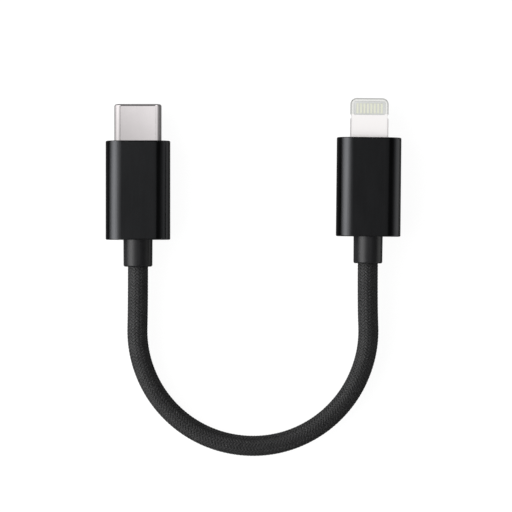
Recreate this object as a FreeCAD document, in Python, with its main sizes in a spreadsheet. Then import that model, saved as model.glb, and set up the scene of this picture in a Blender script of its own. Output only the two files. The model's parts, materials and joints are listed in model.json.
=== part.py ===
"""A short charging cable, modelled as a parametric FreeCAD document, in millimetres.

The cable lies flat on a table in a U. One end is a reversible oval plug with spring contacts inside a
drawn steel shell, the other is a flat tab with eight contact pads on each side. Both plugs wear the same
aluminium sleeve and moulded strain relief. A woven sleeve covers the cord between them.

Frame: +Z up, the table is Z = 0, both plugs point along +Y, and the cord bends round on the -Y side. The
origin is midway between the plugs, under the middle of their length.
Each plug is drawn in its own frame: Y runs from the cord's exit (0) to the tip, Z = 0 is the plug's axis.
"""

import FreeCAD, Part
import math
import os
import re

import Sketcher
from FreeCAD import Vector

# Driving dimensions: (name, value, meaning). Millimetres, and degrees for angles.
DIMENSIONS = [
    ("plug_offset", 20.09, "oval plug's axis, from the YZ plane"),
    ("tab_offset", 20.09, "tab plug's cord exit, from the YZ plane"),
    ("oval_exit", 14.64, "oval plug's cord exit, behind the XZ plane"),
    ("tab_exit", 14.06, "tab plug's cord exit, behind the XZ plane"),
    ("tab_lean", 0.6, "tab plug's lean to the right, degrees"),
    ("sleeve_width", 11.3, "aluminium sleeve, outside"),
    ("sleeve_depth", 5.8, "aluminium sleeve, outside"),
    ("sleeve_length", 17.3, "aluminium sleeve"),
    ("sleeve_wall", 0.4, "aluminium sleeve"),
    ("sleeve_edge", 0.24, "rounding of the sleeve's outer end edges"),
    ("bore_edge", 0.1, "rounding of the sleeve's inner end edges"),
    ("snug", 0.05, "clearance all round a piece inside another"),
    ("relief_length", 4.7, "strain relief, from the cord's exit to the sleeve"),
    ("relief_width", 5.1, "strain relief at the sleeve"),
    ("relief_tip_width", 5.05, "strain relief at the cord's exit"),
    ("relief_round", 0.35, "rounding of the strain relief's end"),
    ("cap_thickness", 1.2, "end caps that close the sleeve"),
    ("cap_recess", 0.1, "end caps, below the sleeve's edge"),
    ("cord_width", 3.56, "woven sleeve, outside"),
    ("weave_bore", 3.0, "woven sleeve, inside"),
    ("jacket_width", 2.9, "rubber jacket, outside"),
    ("jacket_bore", 2.2, "rubber jacket, inside"),
    ("screen_width", 2.1, "metal screen, outside"),
    ("screen_bore", 1.9, "metal screen, inside"),
    ("supply_wire", 0.84, "supply wires' insulation"),
    ("supply_core", 0.5, "supply wires' copper"),
    ("supply_place", 0.5, "supply wires, from the cord's axis"),
    ("data_wire", 0.58, "data wires' insulation"),
    ("data_core", 0.3, "data wires' copper"),
    ("data_place", 0.62, "data wires, from the cord's axis"),
    ("weave_end", 6.0, "where the woven sleeve ends inside each plug"),
    ("jacket_end", 7.6, "where the jacket ends inside each plug"),
    ("screen_end", 7.9, "where the screen ends inside each plug"),
    ("ferrule_start", 6.15, "crimped ferrule"),
    ("ferrule_wall", 0.28, "crimped ferrule"),
    ("fan_start", 8.3, "where the wires leave the bundle"),
    ("fan_bend", 9.0, "where the wires turn outwards"),
    ("fan_end", 10.7, "where the wires run straight again"),
    ("insulation_end", 11.3, "where the wires are stripped"),
    ("core_end", 12.6, "end of the bare copper on its pad"),
    ("supply_pad", 2.4, "supply pads, from the plug's axis"),
    ("data_pad", 0.85, "data pads, from the plug's axis"),
    ("board_start", 11.4, "rear edge of the circuit boards"),
    ("board_thickness", 0.6, "circuit boards"),
    ("can_start", 8.0, "rear wall of the screening cans"),
    ("can_width", 9.0, "screening cans, outside"),
    ("can_depth", 3.5, "both screening cans together, outside"),
    ("can_wall", 0.2, "screening cans"),
    ("can_hole", 2.0, "hole for the wires in the cans' rear wall"),
    ("shell_width", 8.25, "oval plug's steel shell, outside"),
    ("shell_depth", 2.4, "oval plug's steel shell, outside"),
    ("shell_wall", 0.25, "oval plug's steel shell"),
    ("shell_reach", 6.4, "oval plug's steel shell, past the sleeve"),
    ("shell_start", 15.0, "oval plug's steel shell, rear edge"),
    ("shell_round", 0.4, "rounding of the shell's mouth"),
    ("mouth_width", 7.25, "opening in the shell's lip"),
    ("mouth_depth", 1.4, "opening in the shell's lip"),
    ("lip", 0.3, "thickness of the shell's lip"),
    ("oval_can_end", 16.6, "front edge of the oval plug's cans"),
    ("guide_start", 21.9, "rear face of the front guide"),
    ("guide_front", 28.05, "front face of the front guide"),
    ("slot_width", 6.9, "slot for the socket's tongue"),
    ("slot_depth", 0.85, "slot for the socket's tongue"),
    ("contact_count", 12, "spring contacts in a row"),
    ("contact_pitch", 0.5, "spring contacts"),
    ("strip_width", 0.25, "spring contacts"),
    ("strip", 0.13, "thickness of the contact strip"),
    ("strip_height", 0.52, "contact strip's middle, above the plug's axis"),
    ("channel_width", 0.31, "channels for the contacts in the front guide"),
    ("channel_top", 0.79, "roof of the contact channels"),
    ("channel_front", 26.5, "front end of the contact channels"),
    ("flex_point", 21.2, "where the contacts' free beams start"),
    ("flex_eye", 0.12, "radius of the beam's round root"),
    ("beam_bend", 23.6, "where the beam starts to slope"),
    ("beam_touch", 25.4, "where the beam touches the tongue"),
    ("touch_height", 0.31, "beam's middle there, above the axis"),
    ("beam_tip", 26.1, "end of the beam"),
    ("tip_height", 0.44, "beam's middle at its end"),
    ("block_start", 15.4, "rear face of the contact blocks"),
    ("block_end", 21.0, "front face of the contact blocks"),
    ("block_face", 0.1, "contact blocks' inner face, from the axis"),
    ("block_half", 2.95, "contact blocks' half width beside the latches"),
    ("lug_start", 16.5, "lugs that hold the latches' roots"),
    ("lug_end", 17.9, "lugs that hold the latches' roots"),
    ("plate_thickness", 0.15, "grounding plate between the contact blocks"),
    ("latch_root", 17.2, "latches' round roots, along the plug"),
    ("latch_side", 3.34, "latches' round roots, from the axis"),
    ("latch_eye", 0.27, "radius of the latches' round roots"),
    ("latch_in", 3.36, "latch arm's inner face"),
    ("latch_out", 3.56, "latch arm's outer face"),
    ("latch_half", 0.29, "half the latches' height"),
    ("hook_start", 25.0, "hook on the latch"),
    ("hook_peak", 25.5, "hook on the latch"),
    ("hook_in", 3.14, "hook's peak, from the axis"),
    ("latch_tip", 26.2, "end of the latch"),
    ("side_channel", 26.6, "front end of the latches' channels"),
    ("finger_width", 0.7, "ground spring's fingers"),
    ("finger_pitch", 1.9, "ground spring's fingers"),
    ("finger_count", 3, "ground spring's fingers"),
    ("ground_width", 5.0, "ground springs"),
    ("ground_strip", 0.08, "thickness of the ground springs"),
    ("ground_height", 0.86, "ground spring's middle, above the axis"),
    ("ground_eye", 0.05, "radius of the ground spring's round root"),
    ("ground_start", 26.7, "rear edge of the ground springs"),
    ("ground_bend", 27.05, "where the fingers slope inwards"),
    ("finger_touch", 27.55, "where the fingers touch the tongue"),
    ("finger_height", 0.43, "fingers' middle there, above the axis"),
    ("finger_tip", 27.8, "end of the fingers"),
    ("finger_tip_height", 0.52, "fingers' middle at their end"),
    ("oval_board_end", 14.95, "front edge of the oval plug's board"),
    ("board_half", 3.9, "half width of the circuit boards"),
    ("tail_end", 13.6, "end of the contacts' soldered tails"),
    ("tail_foot", 14.65, "where the tails meet the board"),
    ("tail_bend", 15.2, "where the tails step down"),
    ("tail_height", 0.37, "tails' middle on the board"),
    ("tab_width", 6.7, "tab, across"),
    ("tab_depth", 1.5, "tab, thickness"),
    ("tab_reach", 6.88, "tab, past the sleeve"),
    ("tab_corner", 1.1, "tab's tip, in plan"),
    ("tab_edge", 0.45, "rounding of the tab's long edges"),
    ("tab_start", 16.0, "rear edge of the tab's metal body"),
    ("flange_start", 17.5, "flange that the inner mould grips"),
    ("flange_end", 19.0, "flange that the inner mould grips"),
    ("flange_half", 4.1, "half the flange's width"),
    ("flange_depth", 1.9, "flange's thickness"),
    ("notch_place", 25.63, "side notches for the socket's catches"),
    ("notch_radius", 0.5, "side notches"),
    ("notch_bite", 0.22, "how deep the notches are"),
    ("window_start", 25.93, "contact window in the tab"),
    ("window_end", 28.28, "contact window in the tab"),
    ("window_half", 2.75, "half the contact window's width"),
    ("window_corner", 0.3, "contact window's corners"),
    ("bore_half", 2.5, "half width of the tab's slot for its board"),
    ("bore_depth", 0.7, "tab's slot for its board"),
    ("bore_end", 28.08, "end of that slot"),
    ("tongue_half", 2.45, "half width of the board's front tongue"),
    ("tongue_end", 27.93, "front edge of the board's tongue"),
    ("shoulder", 15.6, "where the tab's board narrows to its tongue"),
    ("insert_depth", 1.46, "moulded insert round the contact pads"),
    ("pad_count", 8, "contact pads on a side"),
    ("pad_pitch", 0.6, "contact pads"),
    ("pad_width", 0.38, "contact pads"),
    ("pad_start", 26.18, "contact pads"),
    ("pad_end", 27.93, "contact pads"),
    ("tab_can_end", 17.2, "front edge of the tab plug's cans"),
]
ALIASES = {name for name, _, _ in DIMENSIONS}
WORD = re.compile(r"[a-z][a-z_]*")

# The free cord's route, from the oval plug's exit to the tab plug's exit.
ROUTE = [
    Vector(-20.09, -14.64, 2.9),
    Vector(-20.09, -21.64, 2.9),
    Vector(-20.3, -29.01, 2.3),
    Vector(-17.86, -35.98, 1.92),
    Vector(-13.23, -41.53, 1.78),
    Vector(-7.06, -45.09, 1.78),
    Vector(0.04, -46.33, 1.78),
    Vector(6.99, -45.12, 1.78),
    Vector(13.21, -41.54, 1.78),
    Vector(17.86, -35.95, 1.92),
    Vector(20.34, -28.79, 2.3),
    Vector(20.015, -21.18, 2.9),
    Vector(20.09, -14.06, 2.9),
]
ROUTE_SHARE = 0.45  # how much of the shorter run an arc of the route takes up
FAN_SHARE = 0.45  # the same, where the wires spread apart inside a plug

PLUGS = {
    "oval": ("-plug_offset", "-oval_exit", "0"),
    "tab": ("tab_offset", "-tab_exit", "-tab_lean"),
}

doc = FreeCAD.newDocument("ChargingCable")
sheet = doc.addObject("Spreadsheet::Sheet", "Dims")
subparts = []


# ---------------------------------------------------------------- the sheet


def fill_sheet():
    for row, (name, value, meaning) in enumerate(DIMENSIONS, start=1):
        sheet.set(f"A{row}", meaning)
        sheet.set(f"B{row}", str(value))
        sheet.setAlias(f"B{row}", name)
    doc.recompute()


def formula(text):
    """A formula in the sheet's names, as FreeCAD's expressions spell it."""
    return WORD.sub(lambda w: "Dims." + w.group() if w.group() in ALIASES else w.group(), text)


def size(text):
    """The value of a formula in the sheet's names."""
    return float(sheet.evalExpression(formula(text)))


def bind(item, **formulas):
    for name, text in formulas.items():
        item.setExpression(name.replace("__", "."), formula(text))


def finish(item, name, plug=None):
    """Names a sub-part and puts it in its plug's place."""
    item.Label = name
    if plug:
        across, along, turn = PLUGS[plug]
        bind(item, Placement__Base__x=across, Placement__Base__y=along, Placement__Base__z="sleeve_depth / 2")
        bind(item, Placement__Rotation__Angle=turn)
    subparts.append(item)
    return item


# ---------------------------------------------------------------- sketches


def origin_feature(body, role):
    return next(f for f in body.Origin.OriginFeatures if f.Role == role)


def sketch(body, plane, offset="0"):
    """An empty sketch on one of the body's planes, moved along that plane's normal."""
    drawn = body.newObject("Sketcher::SketchObject", "Sketch")
    drawn.AttachmentSupport = [(origin_feature(body, plane), "")]
    drawn.MapMode = "FlatFace"
    bind(drawn, AttachmentOffset__Base__z=offset)
    return drawn


def section(body, station):
    """A sketch across the plug at that station. Its X is the plug's X, and its Y is the plug's Z."""
    return sketch(body, "XZ_Plane", f"-({station})")


def hold(drawn, kind, *where, text):
    """A dimension in a sketch, bound to the sheet."""
    number = drawn.addConstraint(Sketcher.Constraint(kind, *where, size(text)))
    drawn.setExpression(f"Constraints[{number}]", formula(text))


def pin(drawn, item, point, across, up):
    """Fixes a point of a sketch's item at a place given by two formulas."""
    hold(drawn, "DistanceX", -1, 1, item, point, text=across)
    hold(drawn, "DistanceY", -1, 1, item, point, text=up)


def polygon(drawn, *corners):
    spots = [Vector(size(x), size(y), 0) for x, y in corners]
    first = drawn.GeometryCount
    for start, end in zip(spots, spots[1:] + spots[:1]):
        drawn.addGeometry(Part.LineSegment(start, end))
    for i, (x, y) in enumerate(corners):
        after = first + (i + 1) % len(corners)
        drawn.addConstraint(Sketcher.Constraint("Coincident", first + i, 2, after, 1))
        pin(drawn, first + i, 1, x, y)
    return drawn


def rectangle(drawn, left, bottom, right, top):
    return polygon(drawn, (left, bottom), (right, bottom), (right, top), (left, top))


def circle(drawn, across, up, radius):
    item = drawn.addGeometry(Part.Circle(Vector(size(across), size(up), 0), Vector(0, 0, 1), size(radius)))
    pin(drawn, item, 3, across, up)
    hold(drawn, "Radius", item, text=radius)
    return drawn


def rounded(drawn, corners, radius):
    """A rectangle with round corners. corners are the arcs' centres, anticlockwise from the lower left."""
    up = Vector(0, 0, 1)
    reach = size(radius)
    centres = [Vector(size(x), size(y), 0) for x, y in corners]
    count = len(centres)
    step = 2 * math.pi / count
    begin = [math.pi + i * step for i in range(count)]
    arcs = [
        drawn.addGeometry(Part.ArcOfCircle(Part.Circle(c, up, reach), a, a + step))
        for c, a in zip(centres, begin)
    ]
    for i, arc in enumerate(arcs):
        after = (i + 1) % count
        angle = begin[i] + step
        out = Vector(math.cos(angle), math.sin(angle), 0) * reach
        line = drawn.addGeometry(Part.LineSegment(centres[i] + out, centres[after] + out))
        drawn.addConstraint(Sketcher.Constraint("Tangent", arc, 2, line, 1))
        drawn.addConstraint(Sketcher.Constraint("Tangent", line, 2, arcs[after], 1))
    for arc, (x, y) in zip(arcs, corners):
        pin(drawn, arc, 3, x, y)
        hold(drawn, "Radius", arc, text=radius)
    return drawn


def rounded_box(drawn, left, bottom, right, top, radius):
    inner = [
        (f"{left} + {radius}", f"{bottom} + {radius}"),
        (f"{right} - {radius}", f"{bottom} + {radius}"),
        (f"{right} - {radius}", f"{top} - {radius}"),
        (f"{left} + {radius}", f"{top} - {radius}"),
    ]
    return rounded(drawn, inner, radius)


def oval(drawn, width, depth):
    """An oval with full round ends, centred on the plug's axis."""
    up = Vector(0, 0, 1)
    half = size(f"({width} - ({depth})) / 2")
    reach = size(f"({depth}) / 2")
    right = drawn.addGeometry(
        Part.ArcOfCircle(Part.Circle(Vector(half, 0, 0), up, reach), -math.pi / 2, math.pi / 2)
    )
    left = drawn.addGeometry(
        Part.ArcOfCircle(Part.Circle(Vector(-half, 0, 0), up, reach), math.pi / 2, 3 * math.pi / 2)
    )
    top = drawn.addGeometry(Part.LineSegment(Vector(half, reach, 0), Vector(-half, reach, 0)))
    bottom = drawn.addGeometry(Part.LineSegment(Vector(-half, -reach, 0), Vector(half, -reach, 0)))
    for joint in ((right, 2, top, 1), (top, 2, left, 1), (left, 2, bottom, 1), (bottom, 2, right, 1)):
        drawn.addConstraint(Sketcher.Constraint("Tangent", *joint))
    for arc, side in ((right, ""), (left, "-")):
        pin(drawn, arc, 3, f"{side}({width} - ({depth})) / 2", "0")
        hold(drawn, "Radius", arc, text=f"({depth}) / 2")
    return drawn


# ---------------------------------------------------------------- features


def new_body():
    return doc.addObject("PartDesign::Body", "Body")


def feature(body, kind, drawn, length, side="One side", reverse=False):
    made = body.newObject(f"PartDesign::{kind}", kind)
    made.Profile = drawn
    made.SideType = side
    made.Reversed = reverse
    bind(made, Length=length)
    return made


def pad(body, drawn, length, **ways):
    """Adds material. On a section it grows towards the plug's tip."""
    if drawn.AttachmentSupport[0][0].Role == "XZ_Plane":
        ways["reverse"] = not ways.get("reverse", False)
    return feature(body, "Pad", drawn, length, **ways)


def shrunk(body, before):
    """Stops if the body's last feature took nothing away."""
    doc.recompute()
    if not body.Shape.Volume < before - 1e-6:
        raise RuntimeError(f"{body.Tip.Name} cut nothing from {body.Name}")


def pocket(body, drawn, length, **ways):
    """Takes material away. On a section it goes towards the plug's tip, on a plan it goes down."""
    doc.recompute()
    before = body.Shape.Volume
    made = feature(body, "Pocket", drawn, length, **ways)
    shrunk(body, before)
    return made


def repeat(body, original, count, pitch):
    """Repeats a feature along the plug's X."""
    row = body.newObject("PartDesign::LinearPattern", "LinearPattern")
    row.Originals = [original]
    row.Direction = (origin_feature(body, "X_Axis"), [""])
    bind(row, Occurrences=count, Length=f"({count} - 1) * {pitch}")
    body.Tip = row
    doc.recompute()
    return row


def revolve(body, drawn):
    """Turns a sketch a full turn about the plug's axis."""
    made = body.newObject("PartDesign::Revolution", "Revolution")
    made.Profile = drawn
    made.ReferenceAxis = (origin_feature(body, "Y_Axis"), [""])
    made.Angle = 360
    return made


def round_edges(body, radius, chosen):
    """Rounds those edges of the body that chosen() picks."""
    doc.recompute()
    tip = body.Tip
    names = [f"Edge{i}" for i, e in enumerate(tip.Shape.Edges, start=1) if chosen(e)]
    made = body.newObject("PartDesign::Fillet", "Fillet")
    made.Base = (tip, names)
    bind(made, Radius=radius)
    doc.recompute()
    return made


def lies_at(edge, axis, place, slack=1e-4):
    """Whether an edge lies in the plane where that coordinate (0, 1 or 2) has that value."""
    box = edge.BoundBox
    low, high = ((box.XMin, box.XMax), (box.YMin, box.YMax), (box.ZMin, box.ZMax))[axis]
    return abs(low - place) < slack and abs(high - place) < slack


# ---------------------------------------------------------------- primitives


def block(low, high):
    """A Part::Box between two corners, each three formulas."""
    box = doc.addObject("Part::Box", "Box")
    bind(box, Length=f"{high[0]} - ({low[0]})", Width=f"{high[1]} - ({low[1]})")
    bind(box, Height=f"{high[2]} - ({low[2]})")
    bind(box, Placement__Base__x=low[0], Placement__Base__y=low[1], Placement__Base__z=low[2])
    return box


def rod(radius, start, end):
    """A Part::Cylinder on the plug's axis."""
    made = doc.addObject("Part::Cylinder", "Cylinder")
    made.Placement.Rotation = FreeCAD.Rotation(Vector(1, 0, 0), -90)
    bind(made, Radius=radius, Height=f"{end} - ({start})", Placement__Base__y=start)
    return made


def combine(kind, *shapes):
    made = doc.addObject(f"Part::{kind}", kind)
    if kind == "Cut":
        made.Base, made.Tool = shapes
    elif kind == "Compound":
        made.Links = list(shapes)
    else:
        made.Shapes = list(shapes)
    return made


# ---------------------------------------------------------------- pieces that both plugs have


def make_sleeve(plug):
    """Black aluminium tube that covers the plug."""
    body = new_body()
    start = "relief_length"
    pad(body, oval(section(body, start), "sleeve_width", "sleeve_depth"), "sleeve_length")
    ends = (size(start), size("relief_length + sleeve_length"))
    round_edges(body, "sleeve_edge", lambda e: any(lies_at(e, 1, end) for end in ends))
    bore = oval(section(body, start), "sleeve_width - 2 * sleeve_wall", "sleeve_depth - 2 * sleeve_wall")
    pocket(body, bore, "sleeve_length")
    reach = size("sleeve_depth / 2 - sleeve_wall") + 0.01

    def on_bore(edge):
        inside = edge.BoundBox.ZMax < reach and edge.BoundBox.ZMin > -reach
        return inside and any(lies_at(edge, 1, end) for end in ends)

    round_edges(body, "bore_edge", on_bore)
    return finish(body, f"{plug}_sleeve", plug)


def sleeve_filling(body, station, thickness):
    """Pads an oval that fills the sleeve's bore."""
    width = "sleeve_width - 2 * sleeve_wall - 2 * snug"
    depth = "sleeve_depth - 2 * sleeve_wall - 2 * snug"
    return pad(body, oval(section(body, station), width, depth), thickness)


def make_relief(plug):
    """Soft moulding: an end cap in the sleeve's rear and a collar round the cord."""
    body = new_body()
    cap = "relief_length + cap_recess"
    collar = polygon(
        sketch(body, "XY_Plane"),
        ("cord_width / 2 + snug / 2", "0"),
        ("relief_tip_width / 2", "0"),
        ("relief_width / 2", cap),
        ("cord_width / 2 + snug / 2", cap),
    )
    revolve(body, collar)
    round_edges(body, "relief_round", lambda e: lies_at(e, 1, 0) and e.BoundBox.XMax > size("cord_width / 2 + snug"))
    sleeve_filling(body, cap, "cap_thickness")
    hole = circle(section(body, cap), "0", "0", "cord_width / 2 + snug / 2")
    pocket(body, hole, "cap_thickness")
    return finish(body, f"{plug}_strain_relief", plug)


def make_ferrule(plug):
    """Brass ring crimped round the jacket."""
    inner = "jacket_width / 2 + snug / 2"
    outer = rod(f"{inner} + ferrule_wall", "ferrule_start", "screen_end - snug")
    bore = rod(inner, "ferrule_start", "screen_end - snug")
    return finish(combine("Cut", outer, bore), f"{plug}_ferrule", plug)


def make_cans(plug, end):
    """Two pressed steel cans that meet at the plug's middle and screen its board."""
    for name, side in (("upper", 1), ("lower", -1)):
        outer_z = ["0", "can_depth / 2"]
        inner_z = ["-can_wall", "can_depth / 2 - can_wall"]
        if side < 0:
            outer_z = ["-can_depth / 2", "-0.01"]
            inner_z = ["can_wall - can_depth / 2", "can_wall"]
        outer = block(("-can_width / 2", "can_start", outer_z[0]), ("can_width / 2", end, outer_z[1]))
        inner = block(
            ("can_wall - can_width / 2", "can_start + can_wall", inner_z[0]),
            ("can_width / 2 - can_wall", f"{end} + can_wall", inner_z[1]),
        )
        hole = rod("can_hole / 2", "can_start - can_wall", "can_start + 2 * can_wall")
        can = combine("Cut", outer, combine("MultiFuse", inner, hole))
        finish(can, f"{plug}_{name}_can", plug)


def can_space(end):
    """The room that the cans, the ferrule and the cord take in the inner mould."""
    low = ("-can_width / 2 - snug", "can_start - snug", "-can_depth / 2 - snug")
    high = ("can_width / 2 + snug", f"{end} + snug", "can_depth / 2 + snug")
    ferrule = "jacket_width / 2 + ferrule_wall + snug"
    return block(low, high), rod(ferrule, "weave_end", "can_start")


def make_chips(plug, places):
    """Chips and small components. places are (x, y, side, width, length, height)."""
    chips = []
    for x, y, side, width, length, height in places:
        low, high = ("board_thickness / 2", f"board_thickness / 2 + {height}")
        if side < 0:
            low, high = (f"-board_thickness / 2 - {height}", "-board_thickness / 2")
        corner = (f"{x} - {width} / 2", f"{y} - {length} / 2", low)
        chips.append(block(corner, (f"{x} + {width} / 2", f"{y} + {length} / 2", high)))
    return finish(combine("Compound", *chips), f"{plug}_chips", plug)


def make_shared_pieces(plug, can_end):
    make_sleeve(plug)
    make_relief(plug)
    make_ferrule(plug)
    make_cans(plug, can_end)


# ---------------------------------------------------------------- the oval plug


def make_oval_cap():
    """Plastic cap in the sleeve's front, round the shell."""
    body = new_body()
    front = "relief_length + sleeve_length - cap_recess"
    sleeve_filling(body, f"{front} - cap_thickness", "cap_thickness")
    hole = oval(section(body, f"{front} - cap_thickness"), "shell_width + snug", "shell_depth + snug")
    pocket(body, hole, "cap_thickness")
    return finish(body, "oval_front_cap", "oval")


def make_shell():
    """Drawn steel shell with a rolled lip."""
    body = new_body()
    tip = "relief_length + sleeve_length + shell_reach"
    pad(body, oval(section(body, "shell_start"), "shell_width", "shell_depth"), f"{tip} - shell_start")
    round_edges(body, "shell_round", lambda e: lies_at(e, 1, size(tip)))
    inner = oval(section(body, "shell_start"), "shell_width - 2 * shell_wall", "shell_depth - 2 * shell_wall")
    pocket(body, inner, f"{tip} - lip - shell_start")
    mouth = oval(section(body, f"{tip} - 2 * lip"), "mouth_width", "mouth_depth")
    pocket(body, mouth, "2 * lip")
    return finish(body, "oval_shell", "oval")


def inner_oval(body, station):
    """The section that fills the shell."""
    width = "shell_width - 2 * shell_wall - 2 * snug"
    return oval(section(body, station), width, "shell_depth - 2 * shell_wall - 2 * snug")


def first_in_row(count, pitch):
    return f"-({count} - 1) * {pitch} / 2"


def make_guide():
    """Moulded front guide: the slot for the socket's tongue, with channels for contacts and latches."""
    body = new_body()
    pad(body, inner_oval(body, "guide_start"), "guide_front - guide_start")
    slot = rounded_box(
        section(body, "guide_start"),
        "-slot_width / 2",
        "-slot_depth / 2",
        "slot_width / 2",
        "slot_depth / 2",
        "0.15",
    )
    pocket(body, slot, "guide_front - guide_start")
    side = rectangle(
        section(body, "guide_start"),
        "-shell_width / 2",
        "-latch_half - snug",
        "shell_width / 2",
        "latch_half + snug",
    )
    pocket(body, side, "side_channel - guide_start")
    start = first_in_row("contact_count", "contact_pitch")
    channel = rectangle(
        section(body, "guide_start"),
        f"{start} - channel_width / 2",
        "-channel_top",
        f"{start} + channel_width / 2",
        "channel_top",
    )
    cut = pocket(body, channel, "channel_front - guide_start")
    repeat(body, cut, "contact_count", "contact_pitch")
    cut_ground_seats(body)
    return finish(body, "oval_front_guide", "oval")


def cut_ground_seats(body):
    """Seats for the two ground springs, and windows for their fingers."""
    seat_front = "guide_front"
    seat = "ground_height - ground_strip / 2 - snug / 2"
    for low, high in ((seat, "shell_depth / 2"), ("-shell_depth / 2", f"-({seat})")):
        drawn = rectangle(
            section(body, "ground_start - 2 * snug"), "-ground_width / 2 - snug", low, "ground_width / 2 + snug", high
        )
        pocket(body, drawn, "ground_bend - ground_start + 3 * snug")
    start = first_in_row("finger_count", "finger_pitch")
    window = rectangle(
        section(body, "ground_bend - snug"),
        f"{start} - finger_width / 2 - snug",
        "-shell_depth / 2",
        f"{start} + finger_width / 2 + snug",
        "shell_depth / 2",
    )
    cut = pocket(body, window, "finger_tip - ground_bend + 2 * snug")
    repeat(body, cut, "finger_count", "finger_pitch")


def strip_outline(drawn, thickness, *points):
    """The outline of a bent strip, seen from the side, round a middle line of (along, up) formulas."""
    half = f"{thickness} / 2"
    upper = [(y, f"{z} + {half}") for y, z in points]
    lower = [(y, f"{z} - {half}") for y, z in reversed(points)]
    return polygon(drawn, *upper, *lower)


def mirrored(points, side):
    return points if side > 0 else [(y, f"-({z})") for y, z in points]


def make_contacts(name, side):
    """A row of twelve sprung beams, each with a round root that it flexes about."""
    body = new_body()
    start = first_in_row("contact_count", "contact_pitch")
    line = mirrored(
        [
            ("flex_point", "strip_height"),
            ("beam_bend", "strip_height"),
            ("beam_touch", "touch_height"),
            ("beam_tip", "tip_height"),
        ],
        side,
    )
    drawn = strip_outline(sketch(body, "YZ_Plane", start), "strip", *line)
    beam = pad(body, drawn, "strip_width", side="Symmetric")
    eye_place = "strip_height" if side > 0 else "-strip_height"
    eye = circle(sketch(body, "YZ_Plane", start), "flex_point", eye_place, "flex_eye")
    root = pad(body, eye, "strip_width", side="Symmetric")
    row = repeat(body, beam, "contact_count", "contact_pitch")
    row.Originals = [beam, root]
    return finish(body, f"oval_{name}_contacts", "oval")


def make_tails(name, side):
    """The fixed, soldered ends of the same twelve contacts."""
    body = new_body()
    start = first_in_row("contact_count", "contact_pitch")
    line = mirrored(
        [
            ("flex_point - flex_eye - snug", "strip_height"),
            ("tail_bend", "strip_height"),
            ("tail_foot", "tail_height"),
            ("tail_end", "tail_height"),
        ],
        side,
    )
    drawn = strip_outline(sketch(body, "YZ_Plane", start), "strip", *line)
    repeat(body, pad(body, drawn, "strip_width", side="Symmetric"), "contact_count", "contact_pitch")
    return finish(body, f"oval_{name}_contact_tails", "oval")


def make_contact_block(name, side):
    """Moulded block that holds one row's tails, with half of each latch's seat."""
    body = new_body()
    length = "block_end - block_start"
    pad(body, inner_oval(body, "block_start"), length)
    edges = ("-shell_depth", "block_face") if side > 0 else ("-block_face", "shell_depth")
    half = rectangle(section(body, "block_start"), "-shell_width", edges[0], "shell_width", edges[1])
    pocket(body, half, length)
    for left, right in (("-shell_width", "-block_half"), ("block_half", "shell_width")):
        for low, high in (("block_start", "lug_start"), ("lug_end", "block_end")):
            corner = rectangle(sketch(body, "XY_Plane"), left, low, right, high)
            pocket(body, corner, "2 * shell_depth", side="Symmetric")
    for place in ("-latch_side", "latch_side"):
        seat = circle(sketch(body, "XY_Plane"), place, "latch_root", "latch_eye + snug / 2")
        pocket(body, seat, "2 * (latch_half + snug / 2)", side="Symmetric")
    start = first_in_row("contact_count", "contact_pitch")
    height = "strip_height" if side > 0 else "-strip_height"
    channel = rectangle(
        section(body, "block_start"),
        f"{start} - strip_width / 2 - snug / 4",
        f"{height} - strip / 2 - snug / 4",
        f"{start} + strip_width / 2 + snug / 4",
        f"{height} + strip / 2 + snug / 4",
    )
    repeat(body, pocket(body, channel, length), "contact_count", "contact_pitch")
    for left, right in (("-latch_out - snug", "snug - latch_in"), ("latch_in - snug", "latch_out + snug")):
        top = "latch_half + snug / 2"
        arm = rectangle(section(body, "latch_root"), left, f"-({top})", right, top)
        pocket(body, arm, "lug_end - latch_root")
    return finish(body, f"oval_{name}_contact_block", "oval")


def make_latch(name, side):
    """Sprung side latch: a round root, an arm and a hook that holds the socket's tongue."""
    body = new_body()
    sign = "" if side > 0 else "-"
    arm = polygon(
        sketch(body, "XY_Plane"),
        (f"{sign}latch_in", "latch_root"),
        (f"{sign}latch_out", "latch_root"),
        (f"{sign}latch_out", "latch_tip - 0.15"),
        (f"{sign}(latch_out - 0.1)", "latch_tip"),
        (f"{sign}latch_in", "latch_tip"),
        (f"{sign}hook_in", "hook_peak"),
        (f"{sign}latch_in", "hook_start"),
    )
    pad(body, arm, "2 * latch_half", side="Symmetric")
    eye = circle(sketch(body, "XY_Plane"), f"{sign}latch_side", "latch_root", "latch_eye")
    pad(body, eye, "2 * latch_half", side="Symmetric")
    return finish(body, f"oval_{name}_latch", "oval")


def make_ground_spring(name, side):
    """Thin plate with a rolled rear edge and three fingers that touch the root of the socket's tongue."""
    body = new_body()
    start = first_in_row("finger_count", "finger_pitch")
    line = mirrored(
        [
            ("ground_start", "ground_height"),
            ("ground_bend", "ground_height"),
            ("finger_touch", "finger_height"),
            ("finger_tip", "finger_tip_height"),
        ],
        side,
    )
    drawn = strip_outline(sketch(body, "YZ_Plane", start), "ground_strip", *line)
    repeat(body, pad(body, drawn, "finger_width", side="Symmetric"), "finger_count", "finger_pitch")
    plate = strip_outline(sketch(body, "YZ_Plane"), "ground_strip", *line[:2])
    pad(body, plate, "ground_width", side="Symmetric")
    eye = circle(sketch(body, "YZ_Plane"), *line[0], "ground_eye")
    pad(body, eye, "ground_width", side="Symmetric")
    return finish(body, f"oval_{name}_ground_spring", "oval")


def make_plate(name, half, start, end, thickness):
    """Flat plate in the oval plug's middle plane."""
    body = new_body()
    outline = rectangle(sketch(body, "XY_Plane"), f"-({half})", start, half, end)
    pad(body, outline, thickness, side="Symmetric")
    return finish(body, name, "oval")


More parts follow.
